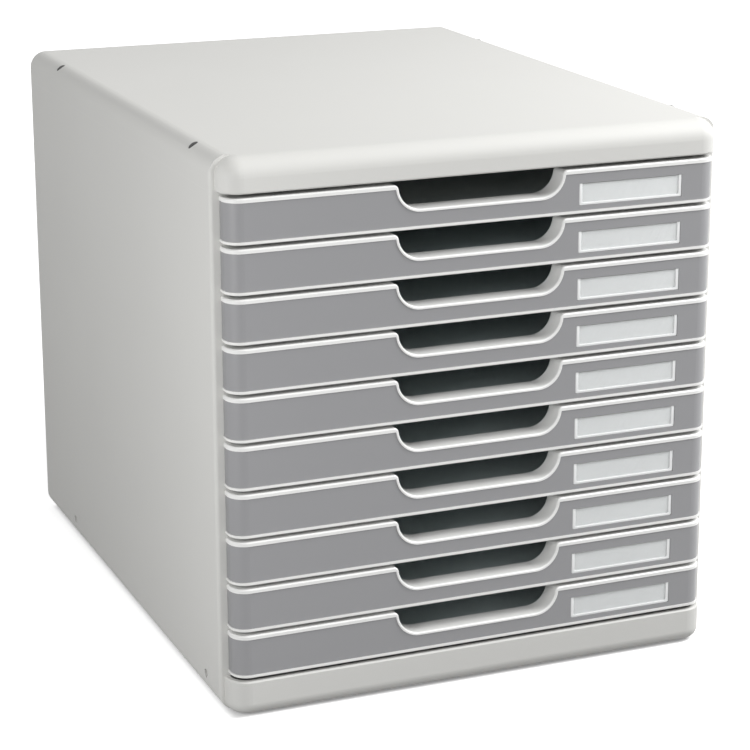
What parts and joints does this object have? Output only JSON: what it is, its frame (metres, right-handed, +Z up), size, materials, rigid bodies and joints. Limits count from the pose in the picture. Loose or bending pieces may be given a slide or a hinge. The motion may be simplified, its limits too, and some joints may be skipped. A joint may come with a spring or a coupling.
{
  "type": "drawer box",
  "caption": "Desktop drawer box with a stack of shallow sliding drawers that have finger scoops, grey fronts and label windows, in a casing with rounded edges.",
  "frame": {"origin": "on the surface the box stands on, under the middle of its footprint", "axes": "+X to the right seen from the front, +Y to the back, +Z up; the drawers open towards -Y"},
  "size_m": [0.28, 0.356, 0.292],
  "materials": {
    "casing_plastic": "fine grained moulded plastic, light grey",
    "drawer_plastic": "smooth moulded plastic, light grey",
    "fascia_plastic": "smooth moulded plastic, mid grey",
    "clear_plastic": "clear glossy plastic",
    "label_card": "plain white card",
    "screw_steel": "zinc plated",
    "foot_rubber": "soft dark rubber"
  },
  "bodies": {
    "casing": {"base_panel": "casing_plastic", "top_panel": "casing_plastic", "left_side": "casing_plastic", "right_side": "casing_plastic", "back_panel": "casing_plastic", "top_screws": "screw_steel", "base_screws": "screw_steel", "feet": "foot_rubber"},
    "drawer_01": {"drawer_01_tray": "drawer_plastic", "drawer_01_fascia": "fascia_plastic", "drawer_01_label_window": "clear_plastic", "drawer_01_label_card": "label_card"},
    "drawer_02": {"drawer_02_tray": "drawer_plastic", "drawer_02_fascia": "fascia_plastic", "drawer_02_label_window": "clear_plastic", "drawer_02_label_card": "label_card"},
    "drawer_03": {"drawer_03_tray": "drawer_plastic", "drawer_03_fascia": "fascia_plastic", "drawer_03_label_window": "clear_plastic", "drawer_03_label_card": "label_card"},
    "drawer_04": {"drawer_04_tray": "drawer_plastic", "drawer_04_fascia": "fascia_plastic", "drawer_04_label_window": "clear_plastic", "drawer_04_label_card": "label_card"},
    "drawer_05": {"drawer_05_tray": "drawer_plastic", "drawer_05_fascia": "fascia_plastic", "drawer_05_label_window": "clear_plastic", "drawer_05_label_card": "label_card"},
    "drawer_06": {"drawer_06_tray": "drawer_plastic", "drawer_06_fascia": "fascia_plastic", "drawer_06_label_window": "clear_plastic", "drawer_06_label_card": "label_card"},
    "drawer_07": {"drawer_07_tray": "drawer_plastic", "drawer_07_fascia": "fascia_plastic", "drawer_07_label_window": "clear_plastic", "drawer_07_label_card": "label_card"},
    "drawer_08": {"drawer_08_tray": "drawer_plastic", "drawer_08_fascia": "fascia_plastic", "drawer_08_label_window": "clear_plastic", "drawer_08_label_card": "label_card"},
    "drawer_09": {"drawer_09_tray": "drawer_plastic", "drawer_09_fascia": "fascia_plastic", "drawer_09_label_window": "clear_plastic", "drawer_09_label_card": "label_card"},
    "drawer_10": {"drawer_10_tray": "drawer_plastic", "drawer_10_fascia": "fascia_plastic", "drawer_10_label_window": "clear_plastic", "drawer_10_label_card": "label_card"}
  },
  "joints": [
    {"name": "drawer_01_slide", "type": "slide", "parent": "casing", "child": "drawer_01", "axis": [0, -1, 0], "range_m": [0, 0.24]},
    {"name": "drawer_02_slide", "type": "slide", "parent": "casing", "child": "drawer_02", "axis": [0, -1, 0], "range_m": [0, 0.24]},
    {"name": "drawer_03_slide", "type": "slide", "parent": "casing", "child": "drawer_03", "axis": [0, -1, 0], "range_m": [0, 0.24]},
    {"name": "drawer_04_slide", "type": "slide", "parent": "casing", "child": "drawer_04", "axis": [0, -1, 0], "range_m": [0, 0.24]},
    {"name": "drawer_05_slide", "type": "slide", "parent": "casing", "child": "drawer_05", "axis": [0, -1, 0], "range_m": [0, 0.24]},
    {"name": "drawer_06_slide", "type": "slide", "parent": "casing", "child": "drawer_06", "axis": [0, -1, 0], "range_m": [0, 0.24]},
    {"name": "drawer_07_slide", "type": "slide", "parent": "casing", "child": "drawer_07", "axis": [0, -1, 0], "range_m": [0, 0.24]},
    {"name": "drawer_08_slide", "type": "slide", "parent": "casing", "child": "drawer_08", "axis": [0, -1, 0], "range_m": [0, 0.24]},
    {"name": "drawer_09_slide", "type": "slide", "parent": "casing", "child": "drawer_09", "axis": [0, -1, 0], "range_m": [0, 0.24]},
    {"name": "drawer_10_slide", "type": "slide", "parent": "casing", "child": "drawer_10", "axis": [0, -1, 0], "range_m": [0, 0.24]}
  ]
}
